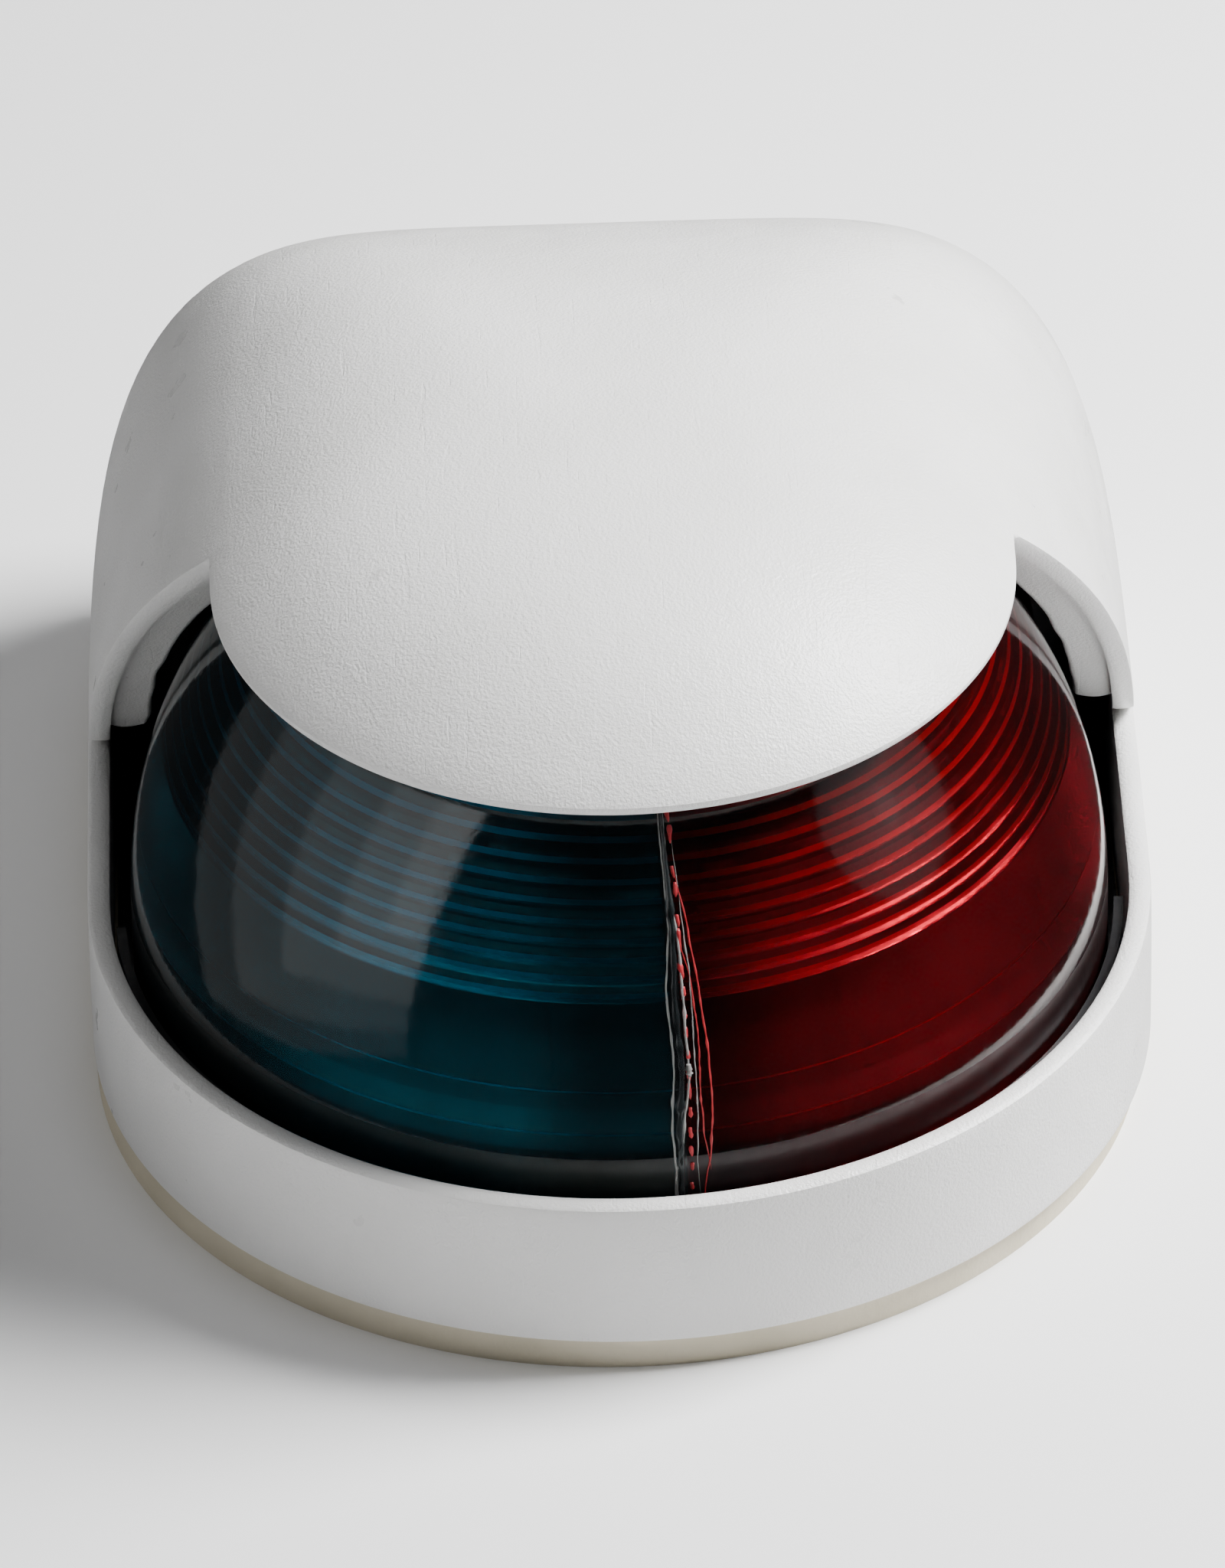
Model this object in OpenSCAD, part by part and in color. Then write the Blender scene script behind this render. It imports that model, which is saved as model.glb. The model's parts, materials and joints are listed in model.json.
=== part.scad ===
// Two-colour bow navigation light for deck mounting.
// +Z is up and the light looks along -Y. The origin is on the deck, under the lamp's axis.

/* [Housing] */
// Half width of the housing, and the radius of its round front
half_w = 36; // [34:0.5:38]
// Distance from the lamp's axis to the rear of the housing
rear_y = 57; // [54:0.5:62]
// Height of the housing's crown above the deck
crown_z = 48; // [47:0.5:52]
// Wall thickness of the housing
wall = 1.5; // [1.4:0.1:1.6]
// Squareness of the housing's rear corners
corner_power = 6; // [4:0.5:8]

/* [Window] */
// Height of the rim below the lens
rim_z = 13.5; // [12.5:0.5:14]
// Height of the visor's edge above the lens
visor_z = 39; // [37:0.5:40]
// How far abaft the lamp's axis the window ends at the rim
window_low_y = 17.5; // [16:0.5:19]
// How far abaft the lamp's axis the window ends under the visor
window_high_y = 3; // [2:0.5:5]

/* [Lens] */
// Outer radius of the lens
lens_r = 33; // [32:0.1:33.1]
// Wall thickness of the lens
lens_wall = 1.6; // [1.2:0.1:1.8]
// Height of the centre of the lens's dome
lens_centre_z = 14; // [13:0.5:15]
// Number of optical ribs inside the lens
rib_count = 13; // [6:1:14]
// How far the lens reaches each side of dead ahead, in degrees
sector = 112.5; // [110:0.5:112.5]
// How far the joint between the colours lies towards red, in degrees
seam_angle = 5.5; // [0:0.5:6]

/* [Base] */
// Thickness of the deck gasket
gasket_t = 2.3; // [1.5:0.1:3]
// Thickness of the base plate
base_t = 2.5; // [2:0.1:3]
// Distance between the two deck screws
deck_pitch = 65; // [64:1:66]
// Diameter of the deck screws' holes
deck_hole_d = 4.2; // [3.5:0.1:4.5]
// Diameter of the supply cable
cable_d = 5; // [4:0.1:5.5]

/* [Lamp] */
// Length of the festoon bulb over its caps
bulb_l = 31; // [29:0.5:31.5]
// Diameter of the bulb's glass
bulb_d = 9.5; // [8.5:0.1:10.5]
// Diameter of the bulb's caps
cap_d = 8.5; // [7:0.1:8.5]
// Thickness of the spring contacts
contact_t = 0.5; // [0.4:0.1:0.6]

/* [Hidden] */

$fn = 64;
eps = 0.01;
fit_gap = 0.05;     // running clearance of screws in their bores
part_gap = 0.3;     // clearance between neighbouring mouldings

// Form of the housing: straight to shoulder_z, then drawn in towards the crown
shoulder_z = 8;
side_power = 2.7;
side_root = 0.41;
rear_power = 2.4;
rear_root = 0.38;

floor_z = gasket_t + base_t;
gasket_inset = 0.5;                 // how far the gasket stands in from the housing
gasket_shift = 0.3;                 // how far it is fitted off centre
grommet_lip = 1.2;                  // thickness of the grommet's flanges and depth of its groove
grommet_gap = 0.4;
deck_y = 9.5;                       // middle of the two deck screws
cable_y = 21.5;
grommet_flange_r = cable_d / 2 + 2.6;

// Cover's screw, its lug on the base and its nut
screw_z = 10;
screw_r = 1.5;
screw_head_r = 2.8;
screw_head_t = 1.9;
boss_y = 49.8;
boss_w = 11;
seat_y = rear_y - 2.5;
lug_y = boss_y - part_gap;
lug_t = 2.4;
nut_w = 5.5;
nut_t = 2.4;
nut_y = lug_y - lug_t - part_gap;
boss_below = gasket_t + 4;          // heights of the boss's underside and top
boss_above = screw_z + 5;
lug_above = screw_z + 4;
shank_gap = 0.15;                   // clearance of the screw in the boss, round shank and head
head_gap = 0.3;
lug_slot_gap = 0.4;
slot_w = 0.8;                       // width of every driver's slot

// Lens and its seat
seal_t = 1.5;
lens_foot_z = floor_z + seal_t + fit_gap;
lens_top_z = 41.5;
collar_top_z = 12;
collar_gap = 0.4;
collar_half_angle = 88;
spigot_t = 2 - part_gap;            // thickness and height of the ring that centres the lens
spigot_h = 4.5;
seal_in = 0.1;                      // how far the seal reaches in and out past the lens's wall
seal_out = 0.3;
collar_inset = 0.15;                // how far the collar stands in from the base plate's edge
rib_low_z = 25.4;
rib_pitch = 1.08;
rib_depth = 0.45;
rib_belly = 0.15;                   // how far a rib's long facet bulges halfway
rib_edge = 0.12;                    // slope of a rib's short facet
shelf_high_z = 19.6;                // the wall thickens inwards by shelf_t here
shelf_low_z = 16.4;                 // and again here
shelf_foot_z = 11;                  // down to here
shelf_t = 0.3;
shelf_edge = 0.1;
seam_half = 0.6;                    // half the width of the joint, in degrees
front = -90;                        // direction of dead ahead, in degrees

// Screens
screen_near = 1.4;                  // how far the cover's screens stand back from the window's edge
screen_far = 3;
screen_y = 13;
screen_t = 1.6;
screen_top_z = 39.5;
screen_bite = 0.2;                  // how far the cover's screens sink into its wall
screen_depth = 2.6;                 // how far they stand in from it
screen_above_rim = 1.5;
screen_below_visor = 1;
lens_clear = 0.8;                   // room round the lens
baffle_gap = 0.05;
baffle_inner_x = 12;
baffle_t = 1.4;
baffle_low_z = 8;
vane_front_y = -17;
vane_rear_y = -7;
vane_t = 1.2;
vane_face_w = 10;
vane_top_z = 38;

// Lamp holder
post_y = 8.6;
post_t = 2.8;
post_w = 14;
bulb_low_z = 9.45;
bulb_top_z = bulb_low_z + bulb_l;
contact_w = 7;
contact_front_y = -3.5;
post_foot_w = 6;
post_foot_h = 3;
post_screw_r = 0.9;
post_screw_l = 2.1;
post_screw_head_r = 1.3;
post_screw_head_t = 0.9;
post_hole_low = 0.8;
contact_tab_h = 7;
rivet_up = 4;                       // height of the rivet over the lower contact's arm
lower_arm_z = bulb_low_z - fit_gap - contact_t;
upper_arm_z = bulb_top_z + fit_gap;
cap_h = 6.5;
cap_t = 0.6;
cap_tip_r = 1.6;
cap_taper = 2.4;
cap_floor = 3;
neck_l = 4;                         // straight ends of the glass
neck_taper = 2.5;
neck_lean = 0.2;
filament_r = 0.5;
filament_wire_r = 0.2;
filament_inset = 7;
rivet_r = 0.9;
rivet_head_r = 1.6;
rivet_head_t = 0.6;
upper_rivet_lift = 0.3;             // play above the upper contact, so that it can spring up

// Terminal block
block_y = 32.5;
block_w = 22;
block_d = 10;
block_h = 8;
terminal_x = 5.5;
terminal_screw_r = 1.4;
terminal_screw_l = 6;
terminal_head_r = 2.4;
terminal_head_t = 1.6;
plate_half_w = 3.5;
plate_t = 0.8;
lead_r = 0.9;
lead_z = floor_z + 3;
return_x = -2;                      // where the return lead meets the lower contact
return_z = 12.6;
rivet_x = 1.4;

// Points of one level of the housing. The front is an ellipse, the rear a squared one.
function level(rx, rf, rr, z, n) = [
    for (i = [0 : n - 1])
        let (a = 360 * i / n, c = cos(a), s = sin(a), q = 2 / corner_power)
        s < 0 ? [rx * c, rf * s, z]
              : [rx * sign(c) * pow(abs(c), q), rr * pow(s, q), z]
];

// Share of the housing's full width, and of its rear length, that is left at height share w
function side_share(w) = pow(1 - pow(w, side_power), side_root);
function rear_share(w) = pow(1 - pow(w, rear_power), rear_root);

// Closed solid of the housing's outer form, set in by inset all over, from low_z up
module skin(inset, low_z, n = 72, rows = 15) {
    top = crown_z - inset * 1.05;
    rx = half_w - inset;
    rr = rear_y - inset;
    shares = [for (k = [0 : rows - 1]) sin(90 * k / rows)];
    low = level(rx, rx, rr, low_z, n);
    upper = [
        for (w = shares)
            each level(rx * side_share(w), rx * side_share(w), rr * rear_share(w),
                       shoulder_z + (top - shoulder_z) * w, n)
    ];
    apex = n * (rows + 1);
    walls = [
        for (k = [0 : rows - 1], i = [0 : n - 1])
            let (a = k * n + i, b = k * n + (i + 1) % n)
            each [[a, a + n, b + n], [a, b + n, b]]
    ];
    lid = [for (i = [0 : n - 1]) [apex, rows * n + (i + 1) % n, rows * n + i]];
    polyhedron(
        points = concat(low, upper, [[0, 0, top]]),
        faces = concat([[for (i = [0 : n - 1]) i]], walls, lid)
    );
}

// Flat plate in the housing's plan, set in by inset
module plan_plate(inset, low_z, t) {
    outline = level(half_w - inset, half_w - inset, rear_y - inset, 0, 144);
    translate([0, 0, low_z])
        linear_extrude(t)
            polygon([for (p = outline) [p.x, p.y]]);
}

// Solid with the given outline in the YZ plane, w wide across X
module across(w, outline) {
    translate([-w / 2, 0, 0])
        rotate([90, 0, 90])
            linear_extrude(w)
                polygon(outline);
}

// Box from two corners
module box(low, high) {
    translate(low)
        cube(high - low);
}

// Window that the lens shows through
module window() {
    across(3 * half_w, [
        [-2 * half_w, rim_z], [window_low_y, rim_z],
        [window_high_y, visor_z], [-2 * half_w, visor_z]
    ]);
}

// Where the window's slanted edge is at height z, as a Y
function window_y(z) = window_low_y
    + (window_high_y - window_low_y) * (z - rim_z) / (visor_z - rim_z);

// Slanted slab that stands back from the window's edge, from near to far
module slab_behind_window(near, far, low_z, high_z) {
    across(3 * half_w, [
        [window_y(low_z) + near, low_z], [window_y(low_z) + far, low_z],
        [window_y(high_z) + far, high_z], [window_y(high_z) + near, high_z]
    ]);
}

// Room that the lens takes up, grown by gap, open downwards
module lens_room(gap) {
    translate([0, 0, lens_centre_z])
        sphere(r = lens_r + gap);
    cylinder(r = lens_r + gap, h = lens_centre_z);
}

// Inner screens beside the lens, which end the sectors
module cover_screens() {
    intersection() {
        difference() {
            skin(wall - screen_bite, gasket_t, 60, 12);
            skin(wall + screen_depth, 0, 60, 12);
            lens_room(lens_clear);
        }
        slab_behind_window(screen_near, screen_far, rim_z + screen_above_rim, visor_z - screen_below_visor);
    }
}

module housing_cover() {
    color("white")
    difference() {
        union() {
            difference() {
                skin(0, gasket_t);
                skin(wall, 0, 60, 12);
                window();
            }
            cover_screens();
            intersection() {
                box([-boss_w / 2, boss_y, boss_below], [boss_w / 2, rear_y, boss_above]);
                skin(wall / 2, gasket_t, 60, 12);
            }
        }
        translate([0, 0, screw_z])
            rotate([-90, 0, 0]) {
                translate([0, 0, boss_y - 1])
                    cylinder(r = screw_r + shank_gap, h = boss_w);
                translate([0, 0, seat_y])
                    cylinder(r = screw_head_r + head_gap, h = boss_w);
            }
    }
}

// Black baffles behind the cover's screens, one on each side
module cover_baffles() {
    color("black")
    difference() {
        intersection() {
            skin(wall + baffle_gap, 0, 60, 12);
            slab_behind_window(screen_far + baffle_gap, screen_far + baffle_t,
                               baffle_low_z, visor_z - screen_below_visor);
        }
        lens_room(lens_clear);
        box([-baffle_inner_x, 0, 0], [baffle_inner_x, rear_y, crown_z]);
    }
}

// Screw with its head on top of z = 0 and its shank below, with a driver's slot
module slotted_screw(shank_r, shank_l, head_r, head_t) {
    difference() {
        union() {
            cylinder(r = head_r, h = head_t);
            translate([0, 0, -shank_l])
                cylinder(r = shank_r, h = shank_l + eps);
        }
        translate([-head_r - 1, -slot_w / 2, head_t / 2])
            cube([2 * head_r + 2, slot_w, head_t]);
    }
}

module cover_screw() {
    color("silver")
    translate([0, seat_y + fit_gap, screw_z])
        rotate([-90, 0, 0])
            slotted_screw(screw_r, seat_y - nut_y + nut_t + 1, screw_head_r, screw_head_t);
}

module cover_nut() {
    color("silver")
    difference() {
        box([-nut_w / 2, nut_y - nut_t, screw_z - nut_w / 2], [nut_w / 2, nut_y, screw_z + nut_w / 2]);
        translate([0, nut_y + 1, screw_z])
            rotate([90, 0, 0])
                cylinder(r = screw_r + fit_gap, h = nut_t + 2);
    }
}

// Part of a ring that runs from angle a0 to a1 either side of dead ahead
module sector_ring(r0, r1, z0, z1, a0, a1) {
    rotate([0, 0, front + a0])
        rotate_extrude(angle = a1 - a0, $fn = 128)
            translate([r0, z0])
                square([r1 - r0, z1 - z0]);
}

// Places of the two holes for the deck screws
module at_deck_holes() {
    for (side = [-1, 1])
        translate([0, deck_y + side * deck_pitch / 2, 0])
            children();
}

module base_plate() {
    color("dimgray")
    difference() {
        union() {
            plan_plate(wall + part_gap, gasket_t, base_t);
            sector_ring(lens_r - lens_wall - part_gap - spigot_t, lens_r - lens_wall - part_gap,
                        floor_z - eps, floor_z + spigot_h, -sector, sector);
            sector_ring(lens_r + collar_gap, half_w - wall - part_gap - collar_inset,
                        floor_z - eps, collar_top_z, -collar_half_angle, collar_half_angle);
            box([-boss_w / 2, lug_y - lug_t, floor_z - eps], [boss_w / 2, lug_y, lug_above]);
        }
        at_deck_holes()
            cylinder(d = deck_hole_d, h = 3 * floor_z, center = true);
        translate([0, cable_y, 0])
            cylinder(r = cable_d / 2 + grommet_lip, h = 3 * floor_z, center = true);
        box([-screw_r - lug_slot_gap, 0, screw_z - screw_r - lug_slot_gap],
            [screw_r + lug_slot_gap, rear_y, crown_z]);
    }
}

module deck_gasket() {
    color("wheat")
    translate([-gasket_shift, 0, 0])
    difference() {
        plan_plate(gasket_inset, 0, gasket_t);
        translate([gasket_shift, 0, 0])
            at_deck_holes()
                cylinder(d = deck_hole_d, h = 3 * gasket_t, center = true);
        translate([gasket_shift, cable_y, 0])
            cylinder(r = grommet_flange_r + grommet_gap, h = 3 * gasket_t, center = true);
    }
}

// Radius of the lens's dome at height z, for a dome of radius r
function dome_r(r, z) = z <= lens_centre_z ? r : sqrt(r * r - pow(z - lens_centre_z, 2));

// Section of the lens: smooth outside, stepped with optical ribs inside
module lens_section() {
    inner = lens_r - lens_wall;
    rise = lens_top_z - lens_centre_z;
    outside = [for (k = [0 : 16]) let (z = lens_centre_z + rise * k / 16) [dome_r(lens_r, z), z]];
    ribs = [
        for (k = [rib_count - 1 : -1 : 0])
            let (z = rib_low_z + rib_pitch * k)
            each [[dome_r(inner, z + rib_pitch), z + rib_pitch],
                  [dome_r(inner, z + 0.5 * rib_pitch) - rib_belly, z + 0.5 * rib_pitch],
                  [dome_r(inner, z) - rib_depth, z + rib_edge]]
    ];
    skirt = [
        [dome_r(inner, rib_low_z), rib_low_z],
        [dome_r(inner, (rib_low_z + shelf_high_z) / 2), (rib_low_z + shelf_high_z) / 2],
        [dome_r(inner, shelf_high_z), shelf_high_z],
        [dome_r(inner, shelf_high_z) - shelf_t, shelf_high_z - shelf_edge],
        [inner - shelf_t, shelf_low_z],
        [inner - 2 * shelf_t, shelf_low_z - shelf_edge],
        [inner - 2 * shelf_t, shelf_foot_z],
        [inner, shelf_foot_z - 2 * shelf_t]
    ];
    polygon(concat(
        [[inner, lens_foot_z], [lens_r, lens_foot_z]],
        outside,
        [[dome_r(inner, lens_top_z), lens_top_z]],
        ribs,
        skirt
    ));
}

// Shell of the lens from angle a0 to a1 either side of dead ahead
module lens_shell(a0, a1) {
    rotate([0, 0, front + a0])
        rotate_extrude(angle = a1 - a0, $fn = 128)
            lens_section();
}

module lens_green() {
    color("teal")
    lens_shell(-sector, seam_angle - seam_half);
}

module lens_red() {
    color("red")
    lens_shell(seam_angle + seam_half, sector);
}

module lens_seam() {
    color("gainsboro")
    lens_shell(seam_angle - seam_half, seam_angle + seam_half);
}

module lens_seal() {
    color("black")
    sector_ring(lens_r - lens_wall - seal_in, lens_r + seal_out,
                floor_z, floor_z + seal_t, -sector, sector);
}

module rear_screen() {
    color("black")
    intersection() {
        lens_room(screen_bite);
        difference() {
            box([-half_w, screen_y, floor_z], [half_w, screen_y + screen_t, screen_top_z]);
            translate([return_x, screen_y - 1, return_z])
                rotate([-90, 0, 0])
                    cylinder(r = lead_r + part_gap, h = screen_t + 2);
        }
    }
}

module centre_screen() {
    color("black")
    union() {
        box([-vane_t / 2, vane_front_y, floor_z], [vane_t / 2, vane_rear_y, vane_top_z]);
        box([-vane_face_w / 2, vane_front_y - vane_t, floor_z],
            [vane_face_w / 2, vane_front_y, vane_top_z - 3]);
    }
}

module lamp_post() {
    color("dimgray")
    difference() {
        union() {
            box([-post_w / 2, post_y, floor_z], [post_w / 2, post_y + post_t, upper_arm_z]);
            box([-post_w / 2 - post_foot_w, post_y, floor_z],
                [post_w / 2 + post_foot_w, post_y + post_t, floor_z + post_foot_h]);
        }
        for (side = [-1, 1])
            translate([side * (post_w + post_foot_w) / 2, post_y + post_t / 2, floor_z + post_hole_low])
                cylinder(r = post_screw_r, h = 5);
        translate([0, post_y + post_t / 2, upper_arm_z - 3])
            cylinder(r = rivet_r, h = 5);
        translate([rivet_x, post_y - 1, lower_arm_z + rivet_up])
            rotate([-90, 0, 0])
                cylinder(r = rivet_r, h = 3);
        translate([return_x, post_y - 1, return_z])
            rotate([-90, 0, 0])
                cylinder(r = lead_r, h = post_t + 2);
    }
}

module lamp_post_screws() {
    color("silver")
    for (side = [-1, 1])
        translate([side * (post_w + post_foot_w) / 2, post_y + post_t / 2, floor_z + post_foot_h])
            slotted_screw(post_screw_r, post_screw_l, post_screw_head_r, post_screw_head_t);
}

module contact_lower() {
    color("goldenrod")
    difference() {
        union() {
            box([-contact_w / 2, contact_front_y, lower_arm_z],
                [contact_w / 2, post_y, lower_arm_z + contact_t]);
            box([-contact_w / 2, post_y - contact_t, lower_arm_z],
                [contact_w / 2, post_y, lower_arm_z + contact_tab_h]);
        }
        translate([rivet_x, post_y - 2, lower_arm_z + rivet_up])
            rotate([-90, 0, 0])
                cylinder(r = rivet_r, h = 4);
    }
}

module contact_upper() {
    color("goldenrod")
    difference() {
        box([-contact_w / 2, contact_front_y, upper_arm_z],
            [contact_w / 2, post_y + post_t, upper_arm_z + contact_t]);
        translate([0, post_y + post_t / 2, upper_arm_z - 1])
            cylinder(r = rivet_r + 0.2, h = 3);
    }
}

// Rivet with its head on top of z = 0 and its shank below
module rivet(shank_l) {
    cylinder(r = rivet_head_r, h = rivet_head_t);
    translate([0, 0, -shank_l])
        cylinder(r = rivet_r, h = shank_l);
}

module contact_rivets() {
    color("goldenrod") {
        translate([0, post_y + post_t / 2, upper_arm_z + contact_t + upper_rivet_lift])
            rivet(contact_t + upper_rivet_lift + 3);
        translate([rivet_x, post_y - contact_t, lower_arm_z + rivet_up])
            rotate([90, 0, 0])
                rivet(contact_t + 2);
    }
}

// Tube of glass, open at both ends, where the caps close it
module bulb_glass() {
    r = bulb_d / 2;
    neck_r = cap_d / 2 - cap_t;
    glass_t = cap_t;
    low = bulb_low_z + cap_floor;
    high = bulb_top_z - cap_floor;
    swell = neck_l + neck_taper;
    color("aliceblue")
    rotate_extrude()
        polygon([
            [neck_r - glass_t, low], [neck_r, low], [neck_r, low + neck_l], [r, low + swell],
            [r, high - swell], [neck_r, high - neck_l], [neck_r, high], [neck_r - glass_t, high],
            [neck_r - glass_t, high - neck_l - neck_lean], [r - glass_t, high - swell - neck_lean],
            [r - glass_t, low + swell + neck_lean], [neck_r - glass_t, low + neck_l + neck_lean]
        ]);
}

// Cap of the bulb, with its contact face at z = 0 and its open end up
module bulb_cap() {
    r = cap_d / 2;
    rotate_extrude()
        polygon([
            [0, 0], [cap_tip_r, 0], [r, cap_taper], [r, cap_h],
            [r - cap_t, cap_h], [r - cap_t, cap_floor], [0, cap_floor]
        ]);
}

module bulb_cap_lower() {
    color("silver")
    translate([0, 0, bulb_low_z])
        bulb_cap();
}

module bulb_cap_upper() {
    color("silver")
    translate([0, 0, bulb_top_z])
        mirror([0, 0, 1])
            bulb_cap();
}

module bulb_filament() {
    low = bulb_low_z + cap_floor;
    high = bulb_top_z - cap_floor;
    color("gray")
    union() {
        translate([0, 0, low])
            cylinder(r = filament_wire_r, h = high - low);
        translate([0, 0, low + filament_inset])
            cylinder(r = filament_r, h = high - low - 2 * filament_inset);
    }
}

// Place of the terminal on one side, -1 for green and 1 for red
module at_terminal(side) {
    translate([side * terminal_x, block_y, floor_z + block_h])
        children();
}

module terminal_block() {
    color("black")
    difference() {
        box([-block_w / 2, block_y - block_d / 2, floor_z],
            [block_w / 2, block_y + block_d / 2, floor_z + block_h]);
        for (side = [-1, 1])
            at_terminal(side)
                translate([0, 0, -terminal_screw_l])
                    cylinder(r = terminal_screw_r + fit_gap, h = block_h);
    }
}

module terminal_plates() {
    color("goldenrod")
    for (side = [-1, 1])
        at_terminal(side)
            difference() {
                box([-plate_half_w, -block_d / 2, 0], [plate_half_w, block_d / 2, plate_t]);
                cylinder(r = terminal_screw_r + fit_gap, h = 4, center = true);
            }
}

module terminal_screw(side) {
    color("silver")
    at_terminal(side)
        translate([0, 0, plate_t + fit_gap])
            slotted_screw(terminal_screw_r, terminal_screw_l, terminal_head_r, terminal_head_t);
}

// Round wire along a list of points, as one closed solid
module wire(route, r, sides = 8) {
    last = len(route) - 1;
    rings = [
        for (k = [0 : last])
            let (
                ahead = route[min(k + 1, last)] - route[max(k - 1, 0)],
                t = ahead / norm(ahead),
                u0 = cross(t, [0.3, 0.2, 1]),
                u = u0 / norm(u0),
                v = cross(t, u)
            )
            each [for (i = [0 : sides - 1])
                let (a = 360 * i / sides) route[k] + r * (cos(a) * u + sin(a) * v)]
    ];
    tube = [
        for (k = [0 : last - 1], i = [0 : sides - 1])
            let (a = k * sides + i, b = k * sides + (i + 1) % sides)
            each [[a, b + sides, a + sides], [a, b, b + sides]]
    ];
    ends = [
        [for (i = [sides - 1 : -1 : 0]) i],
        [for (i = [0 : sides - 1]) last * sides + i]
    ];
    polyhedron(points = rings, faces = concat(tube, ends));
}

// Leads from the terminals to the contacts
lead_start_y = block_y - block_d / 2;

module lead_supply() {
    color("red")
    wire([
        [5.5, lead_start_y, lead_z], [5.5, 25.5, lead_z + 0.2], [5, 22, 10], [4, 18.6, 16],
        [3, 17.2, 23], [1.5, 17, 31], [0.3, 16.9, 37], [0, 16.4, 39.6], [0, 15, 40.75],
        [0, 13, 40.75], [0, 11.6, 40.75]
    ], lead_r);
}

module lead_return() {
    color("black")
    wire([
        [-5.5, lead_start_y, lead_z], [-5.5, 25.5, lead_z + 0.2], [-4.6, 22, 9.6],
        [-2.8, 18.6, 12], [return_x, 16, return_z], [return_x, 12, return_z], [return_x, post_y, return_z]
    ], lead_r);
}

module cable_grommet() {
    bore_r = cable_d / 2;
    groove_r = bore_r + grommet_lip;
    color("black")
    translate([0, cable_y, 0])
        rotate_extrude()
            polygon([
                [bore_r, gasket_t - grommet_lip], [grommet_flange_r, gasket_t - grommet_lip],
                [grommet_flange_r, gasket_t], [groove_r, gasket_t], [groove_r, floor_z],
                [grommet_flange_r, floor_z], [grommet_flange_r, floor_z + grommet_lip],
                [bore_r, floor_z + grommet_lip]
            ]);
}

housing_cover();
cover_baffles();
cover_screw();
cover_nut();
base_plate();
deck_gasket();
lens_green();
lens_red();
lens_seam();
lens_seal();
rear_screen();
centre_screen();
lamp_post();
lamp_post_screws();
contact_lower();
contact_upper();
contact_rivets();
bulb_glass();
bulb_cap_lower();
bulb_cap_upper();
bulb_filament();
terminal_block();
terminal_plates();
terminal_screw(-1);  // terminal_screw_green
terminal_screw(1);  // terminal_screw_red
lead_supply();
lead_return();
cable_grommet();
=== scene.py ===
import json
import math

import bpy
import numpy as np
from mathutils import Matrix, Quaternion, Vector, noise


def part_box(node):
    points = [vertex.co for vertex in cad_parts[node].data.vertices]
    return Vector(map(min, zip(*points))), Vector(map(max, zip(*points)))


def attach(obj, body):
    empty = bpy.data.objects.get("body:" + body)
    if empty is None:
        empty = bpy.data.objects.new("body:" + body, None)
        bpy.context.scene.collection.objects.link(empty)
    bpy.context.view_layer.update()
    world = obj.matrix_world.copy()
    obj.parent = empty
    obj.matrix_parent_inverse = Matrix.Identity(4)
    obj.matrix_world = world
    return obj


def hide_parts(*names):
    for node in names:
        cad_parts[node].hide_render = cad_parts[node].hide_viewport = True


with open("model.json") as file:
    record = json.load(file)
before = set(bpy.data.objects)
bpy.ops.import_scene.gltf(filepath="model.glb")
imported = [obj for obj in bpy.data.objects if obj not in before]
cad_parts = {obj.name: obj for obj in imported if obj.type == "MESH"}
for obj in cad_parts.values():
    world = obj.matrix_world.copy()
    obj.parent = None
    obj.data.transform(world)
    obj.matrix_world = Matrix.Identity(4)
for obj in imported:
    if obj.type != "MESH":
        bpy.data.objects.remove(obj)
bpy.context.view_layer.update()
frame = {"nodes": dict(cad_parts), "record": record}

MM = 0.001

# ---------------------------------------------------------------- camera and lights

CAMERA_ELEVATION = math.radians(35.9)
CAMERA_AZIMUTH = math.radians(-1.0)     # towards +X from dead ahead
CAMERA_ROLL = math.radians(1.2)
CAMERA_DISTANCE = 0.9
CAMERA_TARGET = Vector((0.0, 0.0, 0.015))
PICTURE_SHIFT = (-0.00043, 0.00551)     # how far the view is moved right and up, in metres
LENS_MM = 306.1


def make_camera():
    e, a = CAMERA_ELEVATION, CAMERA_AZIMUTH
    back = Vector((math.sin(a) * math.cos(e), -math.cos(a) * math.cos(e), math.sin(e)))
    right = Vector((math.cos(a), math.sin(a), 0.0))
    up = back.cross(right)
    turn = Matrix.Rotation(-CAMERA_ROLL, 3, back)
    right, up = turn @ right, turn @ up
    data = bpy.data.cameras.new("camera")
    data.lens = LENS_MM
    data.clip_end = 20.0
    camera = bpy.data.objects.new("camera", data)
    bpy.context.collection.objects.link(camera)
    place = CAMERA_TARGET + back * CAMERA_DISTANCE
    place += right * PICTURE_SHIFT[0] + up * PICTURE_SHIFT[1]
    axes = Matrix((right, up, back)).transposed()
    camera.matrix_world = Matrix.Translation(place) @ axes.to_4x4()
    bpy.context.scene.camera = camera


LIT_POINT = Vector((0.0, 0.01, 0.02))   # what every light looks at
KEY_PLACE = (100, 47, 0.36)             # azimuth and elevation in degrees, and distance
KEY_SIZE, KEY_POWER = 0.17, 5.2
OVERHEAD_PLACE = (0, 88, 0.95)
OVERHEAD_SIZE, OVERHEAD_POWER = 0.6, 1.2
GLOW_PLACE = (76, 24, 0.8)
GLOWS = ((0.10, 0.03), (0.18, 0.07), (0.26, 0.13), (0.34, 0.18), (0.42, 0.24), (0.52, 0.30))
PANEL_PLACE = (-88, 22, 0.8)
PANEL_NEAR, PANEL_HIGH, PANEL_ROLL = 0.65, 0.50, 15.0   # shared edge and top, and tilt in degrees
PANEL_STEP = 0.01                       # how far each panel stands behind the one before
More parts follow.
